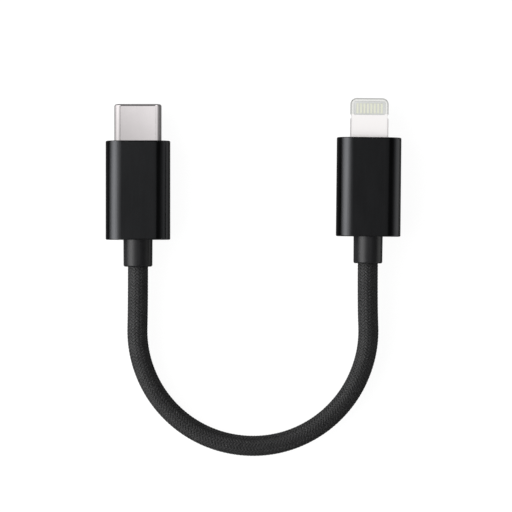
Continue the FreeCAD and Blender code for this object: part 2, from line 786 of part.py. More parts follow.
def make_inner_mould(plug, can_end, *more):
    """Hard moulding that fills the sleeve round the cans."""
    body = new_body()
    start = "relief_length + cap_recess + cap_thickness + snug"
    end = "relief_length + sleeve_length - cap_recess - cap_thickness - snug"
    sleeve_filling(body, start, f"{end} - ({start})")
    room = combine("MultiFuse", *can_space(can_end), *more)
    return finish(combine("Cut", body, room), f"{plug}_inner_mould", plug)


def shell_space():
    """The room that the shell takes in the oval plug's inner mould."""
    body = new_body()
    pad(body, oval(section(body, "shell_start"), "shell_width + snug", "shell_depth + snug"), "sleeve_length")
    return body


def make_oval_plug():
    make_shared_pieces("oval", "oval_can_end")
    make_oval_cap()
    make_shell()
    make_guide()
    make_plate("oval_mid_plate", "block_half - snug", "block_start", "block_end", "plate_thickness")
    make_plate("oval_circuit_board", "board_half", "board_start", "oval_board_end", "board_thickness")
    for name, side in (("upper", 1), ("lower", -1)):
        make_contacts(name, side)
        make_tails(name, side)
        make_contact_block(name, side)
        make_ground_spring(name, side)
    for name, side in (("left", -1), ("right", 1)):
        make_latch(name, side)
    places = [
        ("0.35", "12.7", 1, "1.5", "1.3", "0.45"),
        ("-1.6", "13.1", 1, "0.3", "0.6", "0.3"),
        ("1.6", "13.1", 1, "0.3", "0.6", "0.3"),
        ("3.3", "13.1", 1, "0.3", "0.6", "0.25"),
    ]
    make_chips("oval", places)
    make_inner_mould("oval", "oval_can_end", shell_space())


# ---------------------------------------------------------------- the tab plug


def make_tab_cap():
    """Plastic cap in the sleeve's front, round the tab."""
    body = new_body()
    front = "relief_length + sleeve_length - cap_recess"
    sleeve_filling(body, f"{front} - cap_thickness", "cap_thickness")
    hole = rectangle(
        section(body, f"{front} - cap_thickness"),
        "-tab_width / 2 - snug / 2",
        "-tab_depth / 2 - snug / 2",
        "tab_width / 2 + snug / 2",
        "tab_depth / 2 + snug / 2",
    )
    pocket(body, hole, "cap_thickness")
    return finish(body, "tab_front_cap", "tab")


def make_tab():
    """Cast metal tab: a frame round its contacts, hollow behind them for the board."""
    body = new_body()
    tip = "relief_length + sleeve_length + tab_reach"
    outline = rounded_box(
        sketch(body, "XY_Plane"), "-tab_width / 2", "tab_start", "tab_width / 2", tip, "tab_corner"
    )
    pad(body, outline, "tab_depth", side="Symmetric")
    height = size("tab_depth / 2")
    round_edges(body, "tab_edge", lambda e: lies_at(e, 2, height) or lies_at(e, 2, -height))
    for place in ("-tab_width / 2 - notch_radius + notch_bite", "tab_width / 2 + notch_radius - notch_bite"):
        notch = circle(sketch(body, "XY_Plane"), place, "notch_place", "notch_radius")
        pocket(body, notch, "2 * tab_depth", side="Symmetric")
    flange = rectangle(
        section(body, "flange_start"), "-flange_half", "-flange_depth / 2", "flange_half", "flange_depth / 2"
    )
    pad(body, flange, "flange_end - flange_start")
    window = rounded_box(
        sketch(body, "XY_Plane"), "-window_half", "window_start", "window_half", "window_end", "window_corner"
    )
    pocket(body, window, "2 * tab_depth", side="Symmetric")
    bore = rectangle(
        section(body, "tab_start"), "-bore_half", "-bore_depth / 2", "bore_half", "bore_depth / 2"
    )
    pocket(body, bore, "bore_end - tab_start")
    return finish(body, "tab_metal_body", "tab")


def make_insert():
    """Moulded resin that fills the window round the contact pads."""
    body = new_body()
    outline = rounded_box(
        sketch(body, "XY_Plane"),
        "snug / 2 - window_half",
        "window_start + snug / 2",
        "window_half - snug / 2",
        "window_end - snug / 2",
        "window_corner",
    )
    pad(body, outline, "insert_depth", side="Symmetric")
    board = rectangle(
        section(body, "window_start"),
        "-tongue_half - snug / 2",
        "-board_thickness / 2 - snug / 4",
        "tongue_half + snug / 2",
        "board_thickness / 2 + snug / 4",
    )
    pocket(body, board, "tongue_end + snug - window_start")
    start = first_in_row("pad_count", "pad_pitch")
    seat = rectangle(
        sketch(body, "XY_Plane"),
        f"{start} - pad_width / 2 - snug / 4",
        "pad_start - snug / 4",
        f"{start} + pad_width / 2 + snug / 4",
        "pad_end + snug / 4",
    )
    repeat(body, pocket(body, seat, "2 * tab_depth", side="Symmetric"), "pad_count", "pad_pitch")
    return finish(body, "tab_contact_insert", "tab")


def make_pads(name, side):
    """Eight gilded pads, soldered to the board's tongue."""
    body = new_body()
    foot = "board_thickness / 2 + snug / 4"
    start = first_in_row("pad_count", "pad_pitch")
    drawn = rectangle(
        sketch(body, "XY_Plane", foot if side > 0 else f"-({foot})"),
        f"{start} - pad_width / 2",
        "pad_start",
        f"{start} + pad_width / 2",
        "pad_end",
    )
    one = pad(body, drawn, f"tab_depth / 2 - ({foot})", reverse=side < 0)
    repeat(body, one, "pad_count", "pad_pitch")
    return finish(body, f"tab_{name}_contacts", "tab")


def make_tab_board():
    """T-shaped board: the wide end takes the wires, the tongue carries the contact pads."""
    body = new_body()
    outline = polygon(
        sketch(body, "XY_Plane"),
        ("-board_half", "board_start"),
        ("board_half", "board_start"),
        ("board_half", "shoulder"),
        ("tongue_half", "shoulder"),
        ("tongue_half", "tongue_end"),
        ("-tongue_half", "tongue_end"),
        ("-tongue_half", "shoulder"),
        ("-board_half", "shoulder"),
    )
    pad(body, outline, "board_thickness", side="Symmetric")
    return finish(body, "tab_circuit_board", "tab")


def tab_space():
    """The room that the tab's root takes in its inner mould."""
    flange = block(
        ("-flange_half - snug", "tab_can_end", "-flange_depth / 2 - snug"),
        ("flange_half + snug", "flange_end + snug", "flange_depth / 2 + snug"),
    )
    root = block(
        ("-tab_width / 2 - snug", "flange_start", "-tab_depth / 2 - snug"),
        ("tab_width / 2 + snug", "relief_length + sleeve_length", "tab_depth / 2 + snug"),
    )
    return flange, root


def make_tab_plug():
    make_shared_pieces("tab", "tab_can_end")
    make_tab_cap()
    make_tab()
    make_insert()
    make_tab_board()
    for name, side in (("upper", 1), ("lower", -1)):
        make_pads(name, side)
    places = [
        ("0", "13.9", 1, "2.2", "1.6", "0.6"),
        ("-1.8", "13.9", 1, "0.3", "0.6", "0.3"),
        ("1.8", "13.9", 1, "0.3", "0.6", "0.3"),
        ("2.7", "13.9", 1, "0.3", "0.6", "0.3"),
        ("0", "14.1", -1, "1.8", "1.8", "0.5"),
        ("-1.8", "14.1", -1, "0.3", "0.6", "0.3"),
    ]
    make_chips("tab", places)
    make_inner_mould("tab", "tab_can_end", *tab_space())


# ---------------------------------------------------------------- the cord


class Run:
    """A straight piece of a path."""

    def __init__(self, start, end):
        self.start, self.end = start, end
        self.length = (end - start).Length

    def sweep(self, face):
        return face.extrude(self.end - self.start), face.translated(self.end - self.start)


class Arc:
    """A round piece of a path."""

    def __init__(self, centre, axis, radius, turn):
        self.centre, self.axis, self.radius, self.turn = centre, axis, radius, turn
        self.length = radius * turn

    def sweep(self, face):
        angle = math.degrees(self.turn)
        return face.revolve(self.centre, self.axis, angle), face.rotated(self.centre, self.axis, angle)


def direction(start, end):
    return (end - start).normalize()


def path(points, share):
    """Straight runs joined by tangent arcs. Each arc takes that share of the shorter run at its corner."""
    pieces = []
    at = points[0]
    for before, corner, after in zip(points, points[1:], points[2:]):
        into, out = direction(before, corner), direction(corner, after)
        turn = into.getAngle(out)
        used = share * min((corner - before).Length, (after - corner).Length)
        radius = used / math.tan(turn / 2)
        axis = into.cross(out).normalize()
        start = corner - into * used
        pieces += [Run(at, start), Arc(start + axis.cross(into) * radius, axis, radius, turn)]
        at = corner + out * used
    return pieces + [Run(at, points[-1])]


def ring(centre, normal, outer, inner=0.0):
    """A flat face: a disc, or a ring if it has an inner radius."""
    face = Part.Face(Part.Wire(Part.makeCircle(outer, centre, normal)))
    if inner:
        face = face.cut(Part.Face(Part.Wire(Part.makeCircle(inner, centre, normal)))).Faces[0]
    return face


def swept(face, pieces):
    """One solid along a path, and the face at its far end."""
    solids = []
    for piece in pieces:
        solid, face = piece.sweep(face)
        solids.append(solid)
    return solids[0].fuse(solids[1:]).removeSplitter(), face


def cord_path(depth):
    """The route, carried straight on into both plugs to that depth."""
    pieces = path(ROUTE, ROUTE_SHARE)
    first, last = pieces[0], pieces[-1]
    pieces[0] = Run(first.start - direction(first.start, first.end) * depth, first.end)
    pieces[-1] = Run(last.start, last.end + direction(last.start, last.end) * depth)
    return pieces


def add_shape(name, shape):
    item = doc.addObject("Part::Feature", "Cord")
    item.Shape = shape
    return finish(item, name)


def make_layer(name, outer, inner, depth):
    """One of the cord's round layers."""
    pieces = cord_path(depth)
    start = pieces[0]
    face = ring(start.start, direction(start.start, start.end), outer, inner)
    shape, _ = swept(face, pieces)
    length = sum(p.length for p in pieces)
    wanted = face.Area * length
    print(f"{name}: {length:.1f} mm long, volume {shape.Volume:.2f}, section times length {wanted:.2f}")
    return add_shape(name, shape)


def plug_frame(plug):
    """A plug's place, as a placement."""
    across, along, turn = PLUGS[plug]
    spot = Vector(size(across), size(along), size("sleeve_depth / 2"))
    return FreeCAD.Placement(spot, FreeCAD.Rotation(Vector(0, 0, 1), size(turn)))


def fan_path(plug, spot, pad_x, pad_z, end):
    """A wire's way to its pad in a plug, from the point where it leaves the bundle."""
    frame = plug_frame(plug)
    own = frame.inverse().multVec(spot)
    bend, flat, bare = size("fan_bend"), size("fan_end"), size("insulation_end")
    corners = [own, Vector(own.x, bend, own.z), Vector(pad_x, flat, pad_z), Vector(pad_x, bare, pad_z)]
    pieces = path([frame.multVec(p) for p in corners], FAN_SHARE)
    pieces[-1] = Run(pieces[-1].start, frame.multVec(Vector(pad_x, end, pad_z)))
    return pieces


def wire_shape(offset, outer, inner, pads, end):
    """One wire from pad to pad: through the cord beside its axis, then spread apart in both plugs."""
    pieces = cord_path(size("fan_start"))
    start = pieces[0].start
    face = ring(start + offset, direction(start, pieces[0].end), outer, inner)
    whole, last = swept(face, pieces)
    parts = []
    for plug, spot, pad_place in (("oval", start + offset, pads[0]), ("tab", last.CenterOfGravity, pads[1])):
        way = fan_path(plug, spot, *pad_place, end)
        root = ring(way[0].start, direction(way[0].start, way[0].end), outer, inner)
        parts.append(swept(root, way)[0])
    return whole.fuse(parts).removeSplitter()


def wire_plan():
    """(name, place in the cord, insulation, copper, pad in the oval plug, pad in the tab plug)."""
    supply, data = size("supply_place"), size("data_place")
    board = size("board_thickness / 2")
    supply_z = board + size("supply_core / 2") + 0.01
    data_z = board + size("data_core / 2") + 0.01
    supply_x, data_x = size("supply_pad"), size("data_pad")
    thick = (size("supply_wire / 2"), size("supply_core / 2"))
    thin = (size("data_wire / 2"), size("data_core / 2"))
    return [
        ("cord_power_wire", Vector(-supply, 0, 0), thick, (-supply_x, supply_z), (supply_x, supply_z)),
        ("cord_ground_wire", Vector(supply, 0, 0), thick, (supply_x, supply_z), (-supply_x, supply_z)),
        ("cord_data_plus_wire", Vector(0, 0, data), thin, (-data_x, data_z), (data_x, data_z)),
        ("cord_data_minus_wire", Vector(0, 0, -data), thin, (data_x, -data_z), (-data_x, -data_z)),
    ]


def make_cord():
    make_layer("cord_woven_sleeve", size("cord_width / 2"), size("weave_bore / 2"), size("weave_end"))
    make_layer("cord_jacket", size("jacket_width / 2"), size("jacket_bore / 2"), size("jacket_end"))
    make_layer("cord_screen", size("screen_width / 2"), size("screen_bore / 2"), size("screen_end"))
    cores = []
    for name, offset, (outer, core), *pads in wire_plan():
        add_shape(name, wire_shape(offset, outer, core + 0.01, pads, size("insulation_end")))
        cores.append(wire_shape(offset, core, 0.0, pads, size("core_end")))
    add_shape("cord_copper_cores", Part.Compound(cores))
    radii = [p.radius for p in path(ROUTE, ROUTE_SHARE) if isinstance(p, Arc)]
    print("radii of the route's arcs:", ", ".join(f"{r:.1f}" for r in radii))


# ---------------------------------------------------------------- checks and export


def check_and_export():
    doc.recompute()
    failed = [o.Name for o in doc.Objects if {"Invalid", "Error"} & set(o.State)]
    if failed:
        raise RuntimeError(f"these objects failed: {failed}")
    os.makedirs("parts", exist_ok=True)
    for item in subparts:
        shape = item.Shape
        if shape.isNull() or not shape.isValid() or not shape.Solids:
            raise RuntimeError(f"{item.Label} has no valid shape")
        box = shape.BoundBox
        print(
            f"{item.Label}: {len(shape.Solids)} solids, {shape.Volume:.2f} mm3, "
            f"X {box.XMin:.2f} {box.XMax:.2f}, Y {box.YMin:.2f} {box.YMax:.2f}, Z {box.ZMin:.2f} {box.ZMax:.2f}"
        )
        shape.exportStep(f"parts/{item.Label}.step")


fill_sheet()
make_oval_plug()
make_tab_plug()
make_cord()
check_and_export()
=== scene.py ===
import json
import math

import bmesh
import bpy
import numpy as np
from mathutils import Matrix, Vector


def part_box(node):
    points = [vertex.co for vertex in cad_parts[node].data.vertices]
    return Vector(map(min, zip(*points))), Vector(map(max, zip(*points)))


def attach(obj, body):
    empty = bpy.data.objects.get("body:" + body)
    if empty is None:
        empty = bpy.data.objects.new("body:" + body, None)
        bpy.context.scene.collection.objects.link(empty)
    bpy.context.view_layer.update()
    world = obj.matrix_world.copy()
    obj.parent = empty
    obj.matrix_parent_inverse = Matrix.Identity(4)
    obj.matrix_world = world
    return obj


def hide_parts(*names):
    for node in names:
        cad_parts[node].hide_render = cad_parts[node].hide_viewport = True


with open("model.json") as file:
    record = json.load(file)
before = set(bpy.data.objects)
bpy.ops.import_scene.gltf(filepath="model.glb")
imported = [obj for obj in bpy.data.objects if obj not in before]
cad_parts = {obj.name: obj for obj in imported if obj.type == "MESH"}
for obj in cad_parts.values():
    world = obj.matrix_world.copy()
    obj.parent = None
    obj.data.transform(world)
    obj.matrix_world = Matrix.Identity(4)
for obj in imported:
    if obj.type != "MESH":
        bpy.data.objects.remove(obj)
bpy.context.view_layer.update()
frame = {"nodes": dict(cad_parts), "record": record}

BODY = "cable"
MM = 0.001
PLUG_MIDDLE = 2.9 * MM  # height of the plugs' middle plane


def make_object(name, data):
    made = bpy.data.objects.new(name, data)
    bpy.context.scene.collection.objects.link(made)
    return made


# ---------------------------------------------------------------- camera

PICTURE_CENTRE = (0.54 * MM, -12.775 * MM)
PICTURE_WIDTH = 89.5 * MM  # what the picture shows of the plugs' middle plane
LENS = 250.0
FILM = 36.0


def make_camera():
    """Straight above the object, with +Y up in the picture."""
    data = bpy.data.cameras.new("camera")
    data.lens = LENS
    data.sensor_width = FILM
    data.clip_start = 0.01
    data.clip_end = 10.0
    camera = make_object("camera", data)
    camera.location = (*PICTURE_CENTRE, PLUG_MIDDLE + PICTURE_WIDTH * LENS / FILM)
    bpy.context.scene.camera = camera


# ---------------------------------------------------------------- cord

# The cord's route in metres, from the oval plug to the tab plug.
ROUTE = [
    (-0.02009, -0.01464, 0.0029),
    (-0.02009, -0.02164, 0.0029),
    (-0.0203, -0.02901, 0.0023),
    (-0.01786, -0.03598, 0.00192),
    (-0.01323, -0.04153, 0.00178),
    (-0.00706, -0.04509, 0.00178),
    (0.00004, -0.04633, 0.00178),
    (0.00699, -0.04512, 0.00178),
    (0.01321, -0.04154, 0.00178),
    (0.01786, -0.03595, 0.00192),
    (0.02034, -0.02879, 0.0023),
    (0.020015, -0.02118, 0.0029),
    (0.02009, -0.01406, 0.0029),
]
CORD_WIDTH = 0.00356
CORE_RADIUS = 1.56 * MM
HIDDEN = 3 * MM  # how far the yarns run on inside each strain relief


def make_core():
    """The dark tube under the yarns, and the points of its middle line."""
    curve = bpy.data.curves.new("cord_core", "CURVE")
    curve.dimensions = "3D"
    spline = curve.splines.new("NURBS")
    spline.points.add(len(ROUTE) - 1)
    for point, spot in zip(spline.points, ROUTE):
        point.co = (*spot, 1.0)
    spline.order_u = 3
    spline.use_endpoint_u = True
    spline.resolution_u = 24
    core = make_object("cord_core", curve)
    graph = bpy.context.evaluated_depsgraph_get()
    line = bpy.data.meshes.new_from_object(core.evaluated_get(graph))
    points = np.array([v.co[:] for v in line.vertices])
    bpy.data.meshes.remove(line)
    for point in spline.points:
        point.radius = CORE_RADIUS
    curve.bevel_depth = 1.0
    curve.bevel_resolution = 6
    curve.use_fill_caps = True
    return core, points


def unit(vectors):
    return vectors / np.linalg.norm(vectors, axis=-1, keepdims=True)


def columns(stations, known, values):
    """Points or vectors at stations, between those known at other stations."""
    return np.column_stack([np.interp(stations, known, values[:, i]) for i in range(3)])


LINE_STEP = 0.0001
HALF_WINDOW = 4  # the line is averaged over this many steps each way


class Line:
    """The cord's middle line, with a side and an up vector at each station that don't twist."""

    def __init__(self, points):
        first = points[0] - HIDDEN * unit(points[1] - points[0])
        last = points[-1] + HIDDEN * unit(points[-1] - points[-2])
        rough = np.vstack([first, points, last])
        steps = np.linalg.norm(np.diff(rough, axis=0), axis=1)
        known = np.concatenate([[0], np.cumsum(steps)])
        self.length = known[-1]
        self.stations = np.linspace(0, self.length, int(self.length / LINE_STEP))
        exact = columns(self.stations, known, rough)
        ends = np.repeat(exact[:1], HALF_WINDOW, 0), np.repeat(exact[-1:], HALF_WINDOW, 0)
        padded = np.vstack([ends[0], exact, ends[1]])
        window = np.ones(2 * HALF_WINDOW + 1) / (2 * HALF_WINDOW + 1)
        self.spots = np.column_stack([np.convolve(padded[:, i], window, "valid") for i in range(3)])
        for end in (slice(None, HALF_WINDOW + 1), slice(-HALF_WINDOW - 1, None)):
            self.spots[end] = exact[end]
        forward = unit(np.gradient(self.spots, axis=0))
        self.side = unit(np.cross(forward, [0, 0, 1.0]))
        self.up = np.cross(self.side, forward)

    def at(self, stations):
        """The points, side vectors and up vectors at some stations."""
        return [columns(stations, self.stations, v) for v in (self.spots, self.side, self.up)]


YARNS = 16  # in each direction
PITCH = 9.0 * MM  # one turn of a yarn
YARN_WIDTH = 0.415 * MM
YARN_THICKNESS = 0.085 * MM
WAVE = YARN_THICKNESS / math.sqrt(2)
YARN_MIDDLE = CORD_WIDTH / 2 - WAVE - YARN_THICKNESS / 2
# A yarn's section, as shares of its width and of its thickness.
YARN_SECTION = [(-0.5, 0), (-0.3, 0.5), (0.3, 0.5), (0.5, 0), (0.3, -0.5), (-0.3, -0.5)]
THINNER = 0.25  # how much thinner a yarn is for each width away from its middle
SAMPLES = 8  # sections in one wave of a yarn
END_GAP = 0.05 * MM
YARN_OFFSET = 3.7  # between two yarns' lengthwise texture coordinates, so that no two look alike


def yarn_mesh(name, grids, lengths):
    """A mesh of closed tubes, one for each grid of (stations, points round, 3).

    Its texture coordinates run once round a tube, and along it by its lengths.
    """
    verts, faces, uvs = [], [], []
    base = 0
    for grid, along in zip(grids, lengths):
        rows, across, _ = grid.shape
        verts.append(grid.reshape(-1, 3))
        number = np.arange(rows * across).reshape(rows, across) + base
        low, high = number[:-1], number[1:]
        quads = np.stack([low, np.roll(low, -1, 1), np.roll(high, -1, 1), high], axis=-1)
        faces.extend(quads.reshape(-1, 4).tolist())
        faces.append(number[0][::-1].tolist())
        faces.append(number[-1].tolist())
        u = np.arange(across + 1) / across
        for start, end in zip(along, along[1:]):
            for left, right in zip(u, u[1:]):
                uvs += [left, start, right, start, right, end, left, end]
        uvs += [0.0, 0.0] * (2 * across)
        base += rows * across
    mesh = bpy.data.meshes.new(name)
    mesh.from_pydata(np.vstack(verts).tolist(), [], faces)
    layer = mesh.uv_layers.new(name="UVMap")
    layer.data.foreach_set("uv", np.array(uvs, dtype=np.float32))
    mesh.polygons.foreach_set("use_smooth", [True] * len(mesh.polygons))
    mesh.validate()
    mesh.update()
    return mesh


def make_yarns(name, line, way):
    """The flat yarns that wind one way, 1 or -1, two over and two under the other way's yarns."""
    count = int(line.length / PITCH * YARNS / 2 * SAMPLES)
    stations = np.linspace(END_GAP, line.length - END_GAP, count)
    turns = way * stations / PITCH
    slope = math.atan(2 * math.pi * YARN_MIDDLE / PITCH)
    grids, lengths = [], []
    for yarn in range(YARNS):
        turn = 2 * math.pi * (yarn / YARNS + turns)
        wave = np.cos(math.pi / 2 * (2 * yarn + 2 * YARNS * turns - 0.5)) * way
        middle = YARN_MIDDLE + WAVE * wave
        grid = np.empty((count, len(YARN_SECTION), 3))
        for i, (wide, thick) in enumerate(YARN_SECTION):
            reach = wide * YARN_WIDTH
            angle = (turn + reach * math.cos(slope) / YARN_MIDDLE)[:, None]
            shift = -way * reach * math.sin(slope)
            spot, side, up = line.at(np.clip(stations + shift, 0, line.length))
            radius = middle + thick * YARN_THICKNESS * (1.0 - THINNER * abs(wide))
            grid[:, i] = spot + radius[:, None] * (np.cos(angle) * side + np.sin(angle) * up)
        grids.append(grid if way > 0 else grid[:, ::-1])
        lengths.append(stations / MM / math.cos(slope) + yarn * YARN_OFFSET)
    return make_object(name, yarn_mesh(name, grids, lengths))


# ---------------------------------------------------------------- strain reliefs

RING = 96  # points round a strain relief
# A strain relief's sizes in millimetres. Distances along it start at its mouth.
COLLAR_ENDS = (2.525, 2.55)  # radius at the mouth and at the cap
BEAD = 0.32  # rounding of the mouth's outer edge
CAP_START, CAP_END = 4.8, 6.0
CAP_WIDTH, CAP_DEPTH = 10.4, 4.9
CAP_EDGE = 0.05
FILLET = 0.22  # between the collar and the cap
BORE_GAP = 0.025
# The bore's countersunk edge, as (distance outside the bore, distance from the mouth).
COUNTERSINK = [(0.0, 0.12), (0.04, 0.03), (0.12, 0.0)]


def circle_ring(radius, y):
    turn = (np.arange(RING) + 0.5) / RING * 2 * math.pi
    return np.column_stack([radius * np.cos(turn), np.full(RING, y), radius * np.sin(turn)])


def cap_ring(inset, y):
    """The cap's oval with full round ends, smaller by an inset, with as many points as a circle."""
    ring = circle_ring(CAP_DEPTH / 2 - inset, y)
    ring[:, 0] += np.sign(ring[:, 0]) * (CAP_WIDTH - CAP_DEPTH) / 2
    return ring


def relief_rings():
    """A strain relief's sections, in through its bore and back over its outside."""
    bore = CORD_WIDTH / MM / 2 + BORE_GAP
    mouth, collar = COLLAR_ENDS
    rings = [circle_ring(bore, y) for y in (CAP_END, 3.0, 0.5)]
    rings += [circle_ring(bore + outside, y) for outside, y in COUNTERSINK]
    rings.append(circle_ring(mouth - BEAD - 0.08, 0.0))
    for t in np.radians(np.linspace(0, 90, 8)):
        rings.append(circle_ring(mouth - BEAD * (1 - math.sin(t)), BEAD * (1 - math.cos(t))))
    for y in (0.6, 1.5, 2.5, 3.5, 4.3):
        rings.append(circle_ring(mouth + (collar - mouth) * y / CAP_START, y))
    for t in np.radians(np.linspace(0, 90, 6)):
        radius = collar + FILLET * (1 - math.cos(t))
        rings.append(circle_ring(radius, CAP_START - FILLET * (1 - math.sin(t))))
    rings += [cap_ring(inset, CAP_START) for inset in (0.12, CAP_EDGE)]
    for t in np.radians(np.linspace(15, 90, 5)):
        inset = CAP_EDGE * (1 - math.sin(t))
        rings.append(cap_ring(inset, CAP_START + CAP_EDGE * (1 - math.cos(t))))
    rings.append(cap_ring(0.0, CAP_END - CAP_EDGE))
    rings.append(cap_ring(CAP_EDGE, CAP_END))
    return rings


def make_relief(name, mount, reach, node):
    """Moulded strain relief: a beaded collar, blended into the cap that closes the sleeve.

    Its mouth is reach millimetres behind the mount at the plug's tip.
    """
    tip = next(m for m in frame["record"]["mounts"] if m["name"] == mount)
    up = Vector((0, 0, 1))
    forward = Vector(tip["axis"]).normalized()
    start = Vector(tip["pos_m"]) - reach * MM * forward
    turn = Matrix((forward.cross(up), forward, up)).transposed()
    made = bmesh.new()
    verts = [
        [made.verts.new(turn @ (Vector(spot) * MM) + start) for spot in ring]
        for ring in relief_rings()
    ]
    for low, high in zip(verts, verts[1:] + verts[:1]):
        for i in range(RING):
            after = (i + 1) % RING
            made.faces.new((low[i], high[i], high[after], low[after]))
    bmesh.ops.recalc_face_normals(made, faces=made.faces)
    mesh = bpy.data.meshes.new(name)
    made.to_mesh(mesh)
    made.free()
    mesh.polygons.foreach_set("use_smooth", [True] * len(mesh.polygons))
    mesh.set_sharp_from_angle(angle=math.radians(40))
    relief = make_object(name, mesh)
    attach(relief, BODY)
    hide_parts(node)
    return relief


# ---------------------------------------------------------------- materials


class Material:
    """A Principled material, with helpers that add textures in the object's own coordinates."""

    def __init__(self, name, color, metallic, roughness, **extra):
        self.mat = bpy.data.materials.new(name)
        self.mat.use_nodes = True
        self.tree = self.mat.node_tree
        self.shader = self.tree.nodes["Principled BSDF"]
        self.color = color
        self.shader.inputs["Base Color"].default_value = (*color, 1)
        self.shader.inputs["Metallic"].default_value = metallic
        self.shader.inputs["Roughness"].default_value = roughness
        for key, value in extra.items():
            self.shader.inputs[key.replace("_", " ")].default_value = value
        self.place = self.node("ShaderNodeTexCoord").outputs["Object"]
        self.normal = None

    def node(self, kind, **settings):
        made = self.tree.nodes.new(kind)
        for key, value in settings.items():
            setattr(made, key, value)
        return made

    def link(self, source, target):
        self.tree.links.new(source, target)

    def scaled(self, x, y, z, source=None):
        """The coordinates, times that many per metre along each axis."""
        mapping = self.node("ShaderNodeMapping")
        mapping.inputs["Scale"].default_value = (x, y, z)
        self.link(source or self.place, mapping.inputs["Vector"])
        return mapping.outputs["Vector"]

    def noise(self, x, y=None, z=None, detail=3.0):
        """Noise with features of about 1 / x metres along X, and the same along Y and Z unless given."""
        made = self.node("ShaderNodeTexNoise")
        made.inputs["Scale"].default_value = 1.0
        made.inputs["Detail"].default_value = detail
        self.link(self.scaled(x, y or x, z or x), made.inputs["Vector"])
        return made.outputs["Fac"]

    def spread(self, value, low, high, start=0.3, end=0.7):
        """Maps a value from start..end to low..high."""
        made = self.node("ShaderNodeMapRange")
        ends = {"From Min": start, "From Max": end, "To Min": low, "To Max": high}
        for key, number in ends.items():
            made.inputs[key].default_value = number
        self.link(value, made.inputs["Value"])
        return made.outputs["Result"]

    def math(self, kind, a, b):
        """A sum or product of two numbers or outputs, or another operation of the Math node."""
        made = self.node("ShaderNodeMath", operation=kind)
        for socket, value in zip(made.inputs, (a, b)):
            if isinstance(value, (int, float)):
                socket.default_value = value
            else:
                self.link(value, socket)
        return made.outputs[0]

    def mix(self, share, first, second):
        """A colour between two colours or colour outputs."""
        made = self.node("ShaderNodeMix", data_type="RGBA")
        self.link(share, made.inputs["Factor"])
        for name, value in (("A", first), ("B", second)):
            socket = next(i for i in made.inputs if i.name == name and i.type == "RGBA")
            if isinstance(value, tuple):
                socket.default_value = (*value, 1)
            else:
                self.link(value, socket)
        return next(o for o in made.outputs if o.type == "RGBA")

    def tones(self, share, low, high):
        """The base colour, from low times to high times as light."""
        dark = tuple(c * low for c in self.color)
        light = tuple(min(1.0, c * high) for c in self.color)
        return self.mix(share, dark, light)

    def paint(self, color):
        self.link(color, self.shader.inputs["Base Color"])

    def rough(self, value):
        self.link(value, self.shader.inputs["Roughness"])

    def bump(self, height, strength, depth):
        """Adds fine relief of that depth in metres."""
        made = self.node("ShaderNodeBump")
        made.inputs["Strength"].default_value = strength
        made.inputs["Distance"].default_value = depth
        self.link(height, made.inputs["Height"])
        if self.normal is not None:
            self.link(self.normal, made.inputs["Normal"])
        self.normal = made.outputs["Normal"]
        self.link(self.normal, self.shader.inputs["Normal"])

    def facing(self, axis):
        """How much the surface faces along an axis, either way, from 0 to 1."""
        split = self.node("ShaderNodeSeparateXYZ")
        self.link(self.node("ShaderNodeNewGeometry").outputs["Normal"], split.inputs[0])
        return self.math("ABSOLUTE", split.outputs[axis], 0.0)

    def along(self, spot, direction):
        """Distance in metres from a spot, along a direction."""
        dot = self.node("ShaderNodeVectorMath", operation="DOT_PRODUCT")
        self.link(self.place, dot.inputs[0])
        dot.inputs[1].default_value = direction
        return self.math("SUBTRACT", dot.outputs["Value"], Vector(spot).dot(Vector(direction)))


def anodised():
    """Satin black anodised aluminium: fine blasted grain, faint lengthwise rubbing, and rounded end edges
    painted lighter, partly as wear and partly as a painted highlight.
    """
    m = Material("anodised_black", (0.0155, 0.0158, 0.0166), 1.0, 0.2)
    grain = m.noise(9000)
    cloud = m.noise(350, 120, 350, detail=4)
    rubbed = m.noise(5200, 160, 5200, detail=2)
    # The rounded end edges get a lighter colour: partly wear, partly a painted highlight on their
    # rounding.
    rounded = m.spread(m.facing("Y"), 0.0, 1.0, 0.25, 0.6)
    not_flat = m.spread(m.facing("Y"), 1.0, 0.0, 0.93, 0.98)
    edge = m.math("MULTIPLY", rounded, not_flat)
    wear_and_highlight = m.math("MULTIPLY", edge, m.spread(m.noise(900), 0.45, 0.8))
    m.paint(m.mix(wear_and_highlight, m.tones(cloud, 0.86, 1.14), (0.05, 0.05, 0.052)))
    m.rough(m.math("ADD", m.spread(rubbed, 0.165, 0.215), m.spread(cloud, -0.02, 0.03)))
    m.bump(grain, 0.25, 0.004 * MM)
    return m.mat


def moulded_rubber():
    """Soft black moulding: very fine eroded texture, smoother where it is handled, and a parting line."""
    black = (0.0058, 0.0058, 0.0062)
    m = Material("moulded_rubber", black, 0.0, 0.21, Specular_IOR_Level=0.093)
    fine = m.noise(7000, detail=2)
    cloud = m.noise(500)
    m.paint(m.tones(cloud, 0.8, 1.25))
    m.rough(m.math("ADD", m.spread(cloud, 0.175, 0.245), m.spread(fine, -0.025, 0.025)))
    m.bump(fine, 0.35, 0.008 * MM)
    from_middle = m.math("ABSOLUTE", m.along((0, 0, PLUG_MIDDLE), (0, 0, 1)), 0.0)
    m.bump(m.spread(from_middle, 1.0, 0.0, 0.03 * MM, 0.06 * MM), 0.6, 0.02 * MM)
    return m.mat


def plastic(name, color, roughness):
    """Moulded plastic or resin."""
    m = Material(name, color, 0.0, roughness)
    fine = m.noise(5000)
    cloud = m.noise(450)
    m.paint(m.tones(cloud, 0.88, 1.12))
    uneven = m.spread(cloud, roughness - 0.05, roughness + 0.06)
    m.rough(m.math("ADD", uneven, m.spread(fine, -0.02, 0.02)))
    m.bump(fine, 0.25, 0.005 * MM)
    return m.mat


